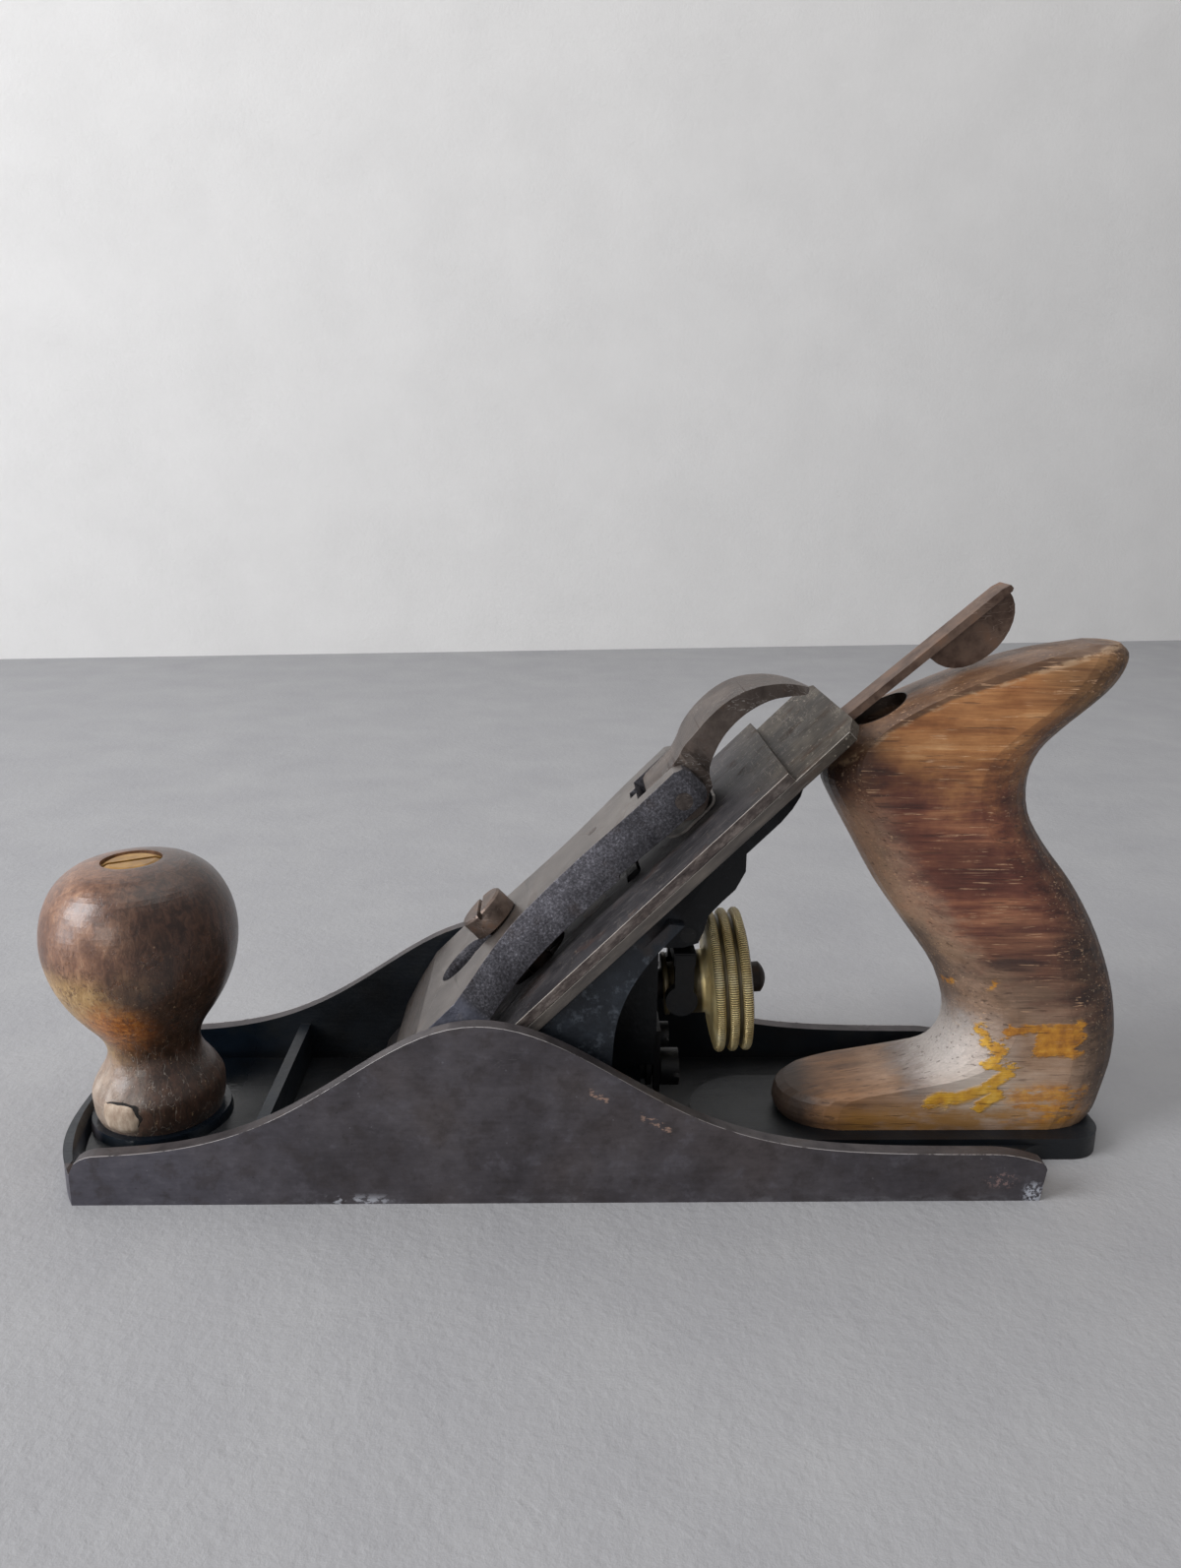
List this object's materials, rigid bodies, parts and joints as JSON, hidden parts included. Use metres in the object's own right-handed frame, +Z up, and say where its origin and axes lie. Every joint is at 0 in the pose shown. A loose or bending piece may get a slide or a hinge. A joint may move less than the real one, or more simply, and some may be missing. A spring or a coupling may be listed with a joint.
{
  "type": "smoothing plane",
  "caption": "Iron smoothing plane with a round wooden knob, a curved wooden handle, a slanted double iron and a lever cap over a movable frog.",
  "frame": {"origin": "on the sole, in the middle of the width and of the straight sides' length", "axes": "-X towards the toe and knob, +X towards the heel, +Y to the plane's left side, +Z up from the sole"},
  "size_m": [0.2553, 0.0636, 0.1344],
  "materials": {
    "base_iron": "worn machined sides, black enamel inside",
    "frog_iron": "worn black enamel",
    "knob_wood": "worn varnish, bare at the foot",
    "tote_wood": "worn amber varnish with paint splashes",
    "brass_part": "dull, aged",
    "plain_steel": "aged",
    "dark_steel": "brown patina",
    "iron_steel": "rust-stained, scratched",
    "cap_plate": "worn nickel over grey casting"
  },
  "bodies": {
    "base": {"base_casting": "base_iron", "knob": "knob_wood", "knob_rod": "plain_steel", "knob_nut": "brass_part", "tote": "tote_wood", "tote_rod": "plain_steel", "tote_nut": "brass_part", "frog_screws": "plain_steel", "frog_washers": "plain_steel"},
    "frog_seat": {"frog": "frog_iron", "adjuster_stud": "dark_steel", "yoke_pin": "plain_steel", "lever_cap_screw": "plain_steel", "lateral_rivet": "plain_steel", "frog_clip": "plain_steel", "frog_clip_screw": "plain_steel"},
    "frog_screw": {"frog_adjusting_screw": "plain_steel"},
    "wheel": {"depth_wheel": "brass_part"},
    "fork": {"yoke": "frog_iron"},
    "iron_carrier": {"cap_iron_screw": "plain_steel"},
    "iron": {"blade": "iron_steel", "cap_iron": "iron_steel"},
    "lateral": {"lateral_lever": "dark_steel"},
    "roller": {"lateral_roller": "plain_steel"},
    "cap": {"lever_cap": "cap_plate", "lever_cap_spring": "plain_steel", "spring_rivet": "plain_steel", "cam_pin": "plain_steel"},
    "cam": {"cam_lever": "cap_plate"}
  },
  "joints": [
    {"name": "frog_slide", "type": "slide", "parent": "base", "child": "frog_seat", "axis": [1, 0, 0], "range_m": [-0.0008, 0.0008]},
    {"name": "frog_screw_turn", "type": "hinge", "parent": "frog_seat", "child": "frog_screw", "pos_m": [0.02, 0, 0.0165], "axis": [1, 0, 0], "range_deg": [-227, 227]},
    {"name": "depth_wheel_turn", "type": "hinge", "parent": "frog_seat", "child": "wheel", "pos_m": [0.0278, 0, 0.0388], "axis": [0.9969, 0, 0.0785], "range_deg": [-330, 330]},
    {"name": "yoke_rock", "type": "hinge", "parent": "frog_seat", "child": "fork", "pos_m": [0.029, 0, 0.0545], "axis": [0, 1, 0], "range_deg": [-3.6, 3.6]},
    {"name": "iron_feed", "type": "slide", "parent": "frog_seat", "child": "iron_carrier", "axis": [0.7071, 0, 0.7071], "range_m": [-0.00102, 0.00102]},
    {"name": "iron_skew", "type": "hinge", "parent": "iron_carrier", "child": "iron", "pos_m": [0.00969, 0, 0.05622], "axis": [-0.7071, 0, 0.7071], "range_deg": [-1.6, 1.6]},
    {"name": "lateral_lever_swing", "type": "hinge", "parent": "frog_seat", "child": "lateral", "pos_m": [0.04716, 0, 0.08945], "axis": [-0.7071, 0, 0.7071], "range_deg": [-4.5, 4.5]},
    {"name": "lateral_roller_spin", "type": "hinge", "parent": "lateral", "child": "roller", "pos_m": [0.03656, 0, 0.08167], "axis": [-0.7071, 0, 0.7071], "continuous": true},
    {"name": "lever_cap_slide", "type": "slide", "parent": "frog_seat", "child": "cap", "axis": [0.7071, 0, 0.7071], "range_m": [0, 0.013]},
    {"name": "cam_lever_lift", "type": "hinge", "parent": "cap", "child": "cam", "pos_m": [0.02666, 0, 0.08733], "axis": [0, -1, 0], "range_deg": [0, 90]}
  ],
  "couplings": [
    {"joint": "frog_screw_turn", "follows": "frog_slide", "rad_per_m": 4947.3},
    {"joint": "depth_wheel_turn", "follows": "iron_feed", "rad_per_m": 5640.2},
    {"joint": "yoke_rock", "follows": "iron_feed", "rad_per_m": 60.6},
    {"joint": "iron_skew", "follows": "lateral_lever_swing", "ratio": -0.35135}
  ]
}
